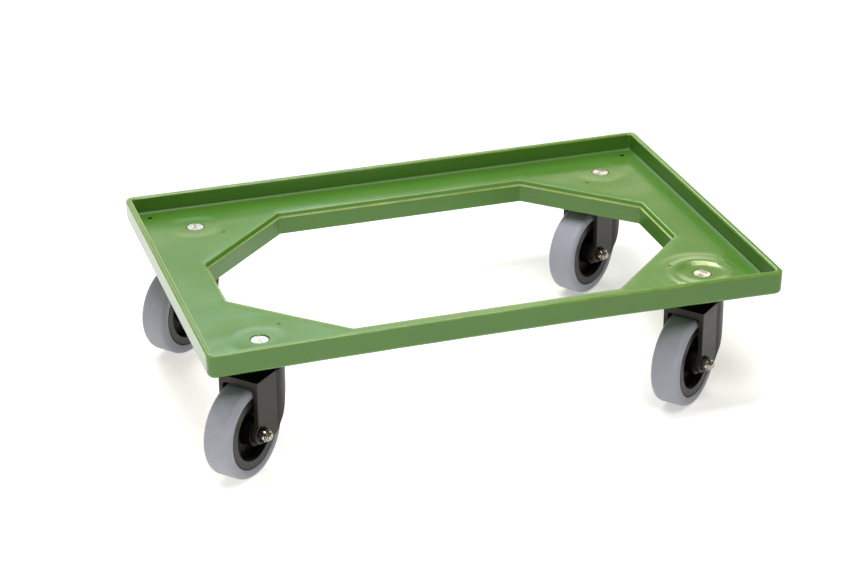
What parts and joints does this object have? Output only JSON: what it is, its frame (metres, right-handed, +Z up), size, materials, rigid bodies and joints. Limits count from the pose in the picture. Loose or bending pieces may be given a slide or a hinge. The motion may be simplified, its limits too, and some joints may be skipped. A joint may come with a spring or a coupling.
{
  "type": "crate dolly",
  "caption": "Low crate dolly: a moulded rectangular tray frame with an eight-sided opening, on swivel casters with rubber-tyred wheels.",
  "frame": {"origin": "on the floor that the wheels stand on, under the middle of the tray", "axes": "+X along the tray's long side, +Y towards its rear long side, +Z up"},
  "size_m": [0.6262, 0.4238, 0.1547],
  "materials": {
    "green_plastic": "glossy moulded plastic, leaf green",
    "turned_steel": "turned steel",
    "bearing_steel": "hardened and polished steel",
    "spring_steel": "phosphated spring steel",
    "zinc_steel": "zinc-plated steel",
    "black_nylon": "satin black moulded plastic",
    "black_core": "satin black moulded plastic",
    "white_acetal": "plain moulded plastic",
    "grey_rubber": "smooth light grey rubber"
  },
  "bodies": {
    "frame": {"deck": "green_plastic", "stem_front_left": "turned_steel", "lower_race_front_left": "bearing_steel", "retaining_ring_front_left": "spring_steel", "stem_front_right": "turned_steel", "lower_race_front_right": "bearing_steel", "retaining_ring_front_right": "spring_steel", "stem_rear_left": "turned_steel", "lower_race_rear_left": "bearing_steel", "retaining_ring_rear_left": "spring_steel", "stem_rear_right": "turned_steel", "lower_race_rear_right": "bearing_steel", "retaining_ring_rear_right": "spring_steel"},
    "caster_front_left": {"fork_front_left": "black_nylon", "upper_balls_front_left": "bearing_steel", "lower_balls_front_left": "bearing_steel", "axle_bolt_front_left": "zinc_steel", "axle_nut_front_left": "zinc_steel", "axle_sleeve_front_left": "zinc_steel"},
    "wheel_front_left": {"hub_bush_front_left": "white_acetal", "wheel_core_front_left": "black_core", "tyre_front_left": "grey_rubber"},
    "caster_front_right": {"fork_front_right": "black_nylon", "upper_balls_front_right": "bearing_steel", "lower_balls_front_right": "bearing_steel", "axle_bolt_front_right": "zinc_steel", "axle_nut_front_right": "zinc_steel", "axle_sleeve_front_right": "zinc_steel"},
    "wheel_front_right": {"hub_bush_front_right": "white_acetal", "wheel_core_front_right": "black_core", "tyre_front_right": "grey_rubber"},
    "caster_rear_left": {"fork_rear_left": "black_nylon", "upper_balls_rear_left": "bearing_steel", "lower_balls_rear_left": "bearing_steel", "axle_bolt_rear_left": "zinc_steel", "axle_nut_rear_left": "zinc_steel", "axle_sleeve_rear_left": "zinc_steel"},
    "wheel_rear_left": {"hub_bush_rear_left": "white_acetal", "wheel_core_rear_left": "black_core", "tyre_rear_left": "grey_rubber"},
    "caster_rear_right": {"fork_rear_right": "black_nylon", "upper_balls_rear_right": "bearing_steel", "lower_balls_rear_right": "bearing_steel", "axle_bolt_rear_right": "zinc_steel", "axle_nut_rear_right": "zinc_steel", "axle_sleeve_rear_right": "zinc_steel"},
    "wheel_rear_right": {"hub_bush_rear_right": "white_acetal", "wheel_core_rear_right": "black_core", "tyre_rear_right": "grey_rubber"}
  },
  "joints": [
    {"name": "swivel_front_left", "type": "hinge", "parent": "frame", "child": "caster_front_left", "pos_m": [-0.2425, -0.147, 0.1095], "axis": [0, 0, 1], "continuous": true},
    {"name": "spin_front_left", "type": "hinge", "parent": "caster_front_left", "child": "wheel_front_left", "pos_m": [-0.26978, -0.172, 0.05], "axis": [0.6756, -0.7373, 0], "continuous": true},
    {"name": "swivel_front_right", "type": "hinge", "parent": "frame", "child": "caster_front_right", "pos_m": [0.2425, -0.147, 0.1095], "axis": [0, 0, 1], "continuous": true},
    {"name": "spin_front_right", "type": "hinge", "parent": "caster_front_right", "child": "wheel_front_right", "pos_m": [0.21441, -0.17108, 0.05], "axis": [0.6508, -0.7593, 0], "continuous": true},
    {"name": "swivel_rear_left", "type": "hinge", "parent": "frame", "child": "caster_rear_left", "pos_m": [-0.2425, 0.147, 0.1095], "axis": [0, 0, 1], "continuous": true},
    {"name": "spin_rear_left", "type": "hinge", "parent": "caster_rear_left", "child": "wheel_rear_left", "pos_m": [-0.27064, 0.12297, 0.05], "axis": [0.6494, -0.7604, 0], "continuous": true},
    {"name": "swivel_rear_right", "type": "hinge", "parent": "frame", "child": "caster_rear_right", "pos_m": [0.2425, 0.147, 0.1095], "axis": [0, 0, 1], "continuous": true},
    {"name": "spin_rear_right", "type": "hinge", "parent": "caster_rear_right", "child": "wheel_rear_right", "pos_m": [0.2128, 0.12494, 0.05], "axis": [0.5962, -0.8028, 0], "continuous": true}
  ]
}
